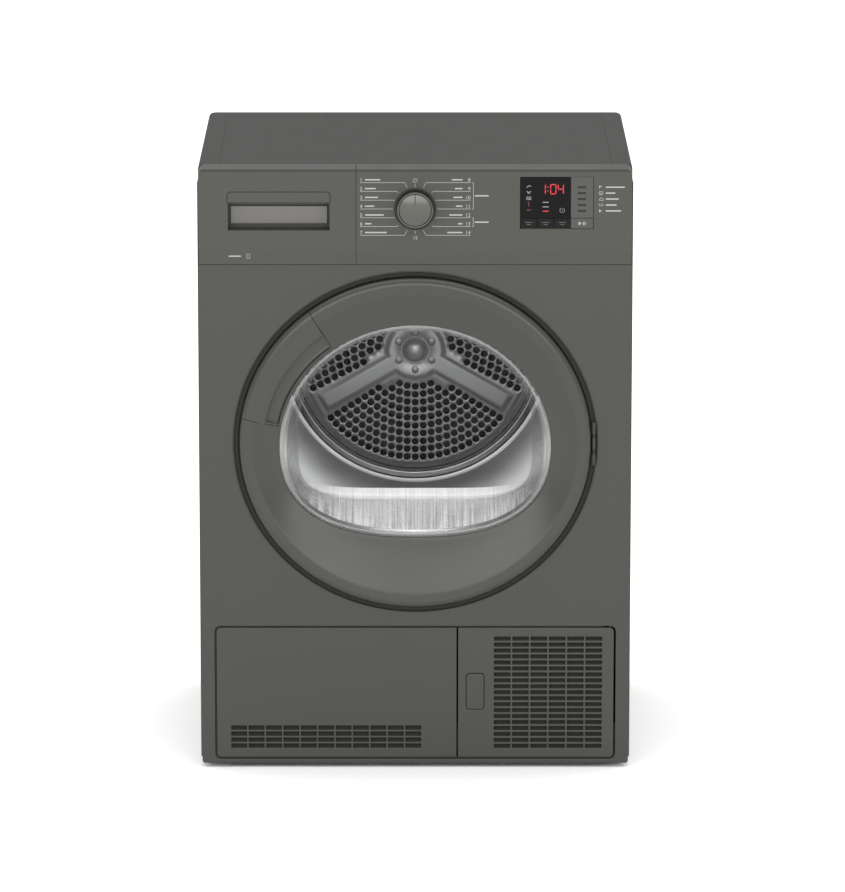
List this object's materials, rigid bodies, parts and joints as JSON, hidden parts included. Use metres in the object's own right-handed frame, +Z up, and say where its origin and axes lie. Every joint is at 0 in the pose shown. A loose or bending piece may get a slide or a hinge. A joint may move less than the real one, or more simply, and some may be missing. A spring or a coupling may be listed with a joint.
{
  "type": "clothes dryer",
  "caption": "Free-standing condenser clothes dryer with a round glass door, control band with knob and display, water tank drawer and louvred kick panel.",
  "frame": {"origin": "floor level, under the middle of the overall width and depth", "axes": "+X to the right seen from the front, +Y from the front to the back, +Z up"},
  "size_m": [0.598, 0.55, 0.846],
  "materials": {
    "body_paint": "satin anthracite paint",
    "top_plastic": "fine matt texture",
    "fascia_plastic": "satin metallic grey",
    "door_plastic": "satin anthracite",
    "dark_plastic": "matt",
    "display_black": "gloss",
    "indicator_grey": "gloss",
    "key_black": "satin",
    "pale_plastic": "matt",
    "stainless": "polished",
    "zinc_steel": "zinc plated",
    "fin_aluminium": "mill",
    "rubber": "matt",
    "board": "solder resist",
    "door_glass": "clear"
  },
  "bodies": {
    "cabinet": {"side_panel_left": "body_paint", "side_panel_right": "body_paint", "rear_panel": "zinc_steel", "base_tray": "dark_plastic", "worktop_frame": "top_plastic", "worktop_inlay": "top_plastic", "front_panel": "body_paint", "control_fascia": "fascia_plastic", "display_window": "display_black", "indicator_window": "indicator_grey", "interface_board": "board", "tank_guide": "zinc_steel", "kick_cover": "door_plastic", "heat_exchanger": "fin_aluminium", "door_hinge_bracket": "zinc_steel", "door_lock": "dark_plastic", "front_bulkhead": "pale_plastic", "lint_filter": "dark_plastic", "duct_cover": "zinc_steel", "heater": "zinc_steel", "motor": "zinc_steel", "drive_belt": "rubber", "idler_arm": "zinc_steel", "condensate_pump": "dark_plastic", "cord_inlet": "dark_plastic"},
    "door": {"door_outer_frame": "door_plastic", "door_inner_frame": "dark_plastic", "door_handle": "door_plastic", "door_glass": "door_glass", "door_seal": "rubber", "door_hook": "zinc_steel", "door_hinge_leaf": "zinc_steel"},
    "drum": {"drum_shell": "stainless", "drum_back": "stainless", "drum_hub": "stainless", "drum_lifter_1": "pale_plastic", "drum_lifter_2": "pale_plastic", "drum_lifter_3": "pale_plastic"},
    "motor_rotor": {"motor_shaft": "zinc_steel", "process_fan": "pale_plastic", "cooling_fan": "pale_plastic"},
    "idler": {"idler_pulley": "pale_plastic"},
    "roller_left": {"drum_roller_left": "rubber"},
    "roller_right": {"drum_roller_right": "rubber"},
    "knob": {"programme_knob": "fascia_plastic"},
    "key_left": {"function_key_left": "key_black"},
    "key_middle": {"function_key_middle": "key_black"},
    "key_right": {"function_key_right": "key_black"},
    "key_start": {"start_key": "key_black"},
    "tank_drawer": {"tank_drawer_front": "fascia_plastic", "water_tank": "pale_plastic"},
    "flap": {"kick_flap": "door_plastic"},
    "latch": {"flap_latch": "door_plastic"},
    "lever_upper": {"exchanger_lever_upper": "dark_plastic"},
    "lever_lower": {"exchanger_lever_lower": "dark_plastic"},
    "foot_fl": {"foot_front_left": "dark_plastic"},
    "foot_fr": {"foot_front_right": "dark_plastic"},
    "foot_rl": {"foot_rear_left": "dark_plastic"},
    "foot_rr": {"foot_rear_right": "dark_plastic"}
  },
  "joints": [
    {"name": "door_hinge", "type": "hinge", "parent": "cabinet", "child": "door", "pos_m": [0.2468, -0.2583, 0.4632], "axis": [0, 0, 1], "range_deg": [0, 160]},
    {"name": "drum_spin", "type": "hinge", "parent": "cabinet", "child": "drum", "pos_m": [0, 0, 0.5], "axis": [0, 1, 0], "continuous": true},
    {"name": "motor_spin", "type": "hinge", "parent": "cabinet", "child": "motor_rotor", "pos_m": [-0.12, 0, 0.11], "axis": [0, 1, 0], "continuous": true},
    {"name": "idler_spin", "type": "hinge", "parent": "cabinet", "child": "idler", "pos_m": [-0.04066, 0.15, 0.12254], "axis": [0, 1, 0], "continuous": true},
    {"name": "roller_left_spin", "type": "hinge", "parent": "cabinet", "child": "roller_left", "pos_m": [-0.14432, -0.186, 0.22858], "axis": [0, 1, 0], "continuous": true},
    {"name": "roller_right_spin", "type": "hinge", "parent": "cabinet", "child": "roller_right", "pos_m": [0.14432, -0.186, 0.22858], "axis": [0, 1, 0], "continuous": true},
    {"name": "knob_turn", "type": "hinge", "parent": "cabinet", "child": "knob", "pos_m": [0, -0.26, 0.792], "axis": [0, 1, 0], "continuous": true},
    {"name": "key_left_press", "type": "slide", "parent": "cabinet", "child": "key_left", "axis": [0, 1, 0], "range_m": [0, 0.0012], "stiffness_N_per_m": 500},
    {"name": "key_middle_press", "type": "slide", "parent": "cabinet", "child": "key_middle", "axis": [0, 1, 0], "range_m": [0, 0.0012], "stiffness_N_per_m": 500},
    {"name": "key_right_press", "type": "slide", "parent": "cabinet", "child": "key_right", "axis": [0, 1, 0], "range_m": [0, 0.0012], "stiffness_N_per_m": 500},
    {"name": "key_start_press", "type": "slide", "parent": "cabinet", "child": "key_start", "axis": [0, 1, 0], "range_m": [0, 0.0012], "stiffness_N_per_m": 500},
    {"name": "tank_drawer_slide", "type": "slide", "parent": "cabinet", "child": "tank_drawer", "axis": [0, -1, 0], "range_m": [0, 0.4]},
    {"name": "flap_hinge", "type": "hinge", "parent": "cabinet", "child": "flap", "pos_m": [0.271, -0.2505, 0.1075], "axis": [0, 0, 1], "range_deg": [0, 95]},
    {"name": "latch_press", "type": "slide", "parent": "flap", "child": "latch", "axis": [0, 1, 0], "range_m": [0, 0.002], "stiffness_N_per_m": 600},
    {"name": "lever_upper_turn", "type": "hinge", "parent": "cabinet", "child": "lever_upper", "pos_m": [0.244, -0.2343, 0.167], "axis": [0, 1, 0], "range_deg": [0, 90]},
    {"name": "lever_lower_turn", "type": "hinge", "parent": "cabinet", "child": "lever_lower", "pos_m": [0.244, -0.2343, 0.056], "axis": [0, 1, 0], "range_deg": [-90, 0]},
    {"name": "foot_fl_turn", "type": "hinge", "parent": "cabinet", "child": "foot_fl", "pos_m": [-0.255, -0.195, 0], "axis": [0, 0, 1], "continuous": true},
    {"name": "foot_fr_turn", "type": "hinge", "parent": "cabinet", "child": "foot_fr", "pos_m": [0.255, -0.195, 0], "axis": [0, 0, 1], "continuous": true},
    {"name": "foot_rl_turn", "type": "hinge", "parent": "cabinet", "child": "foot_rl", "pos_m": [-0.255, 0.19, 0], "axis": [0, 0, 1], "continuous": true},
    {"name": "foot_rr_turn", "type": "hinge", "parent": "cabinet", "child": "foot_rr", "pos_m": [0.255, 0.19, 0], "axis": [0, 0, 1], "continuous": true}
  ],
  "couplings": [
    {"joint": "motor_spin", "follows": "drum_spin", "ratio": 29.854},
    {"joint": "idler_spin", "follows": "drum_spin", "ratio": -15.63},
    {"joint": "roller_left_spin", "follows": "drum_spin", "ratio": -12.954},
    {"joint": "roller_right_spin", "follows": "drum_spin", "ratio": -12.954}
  ]
}
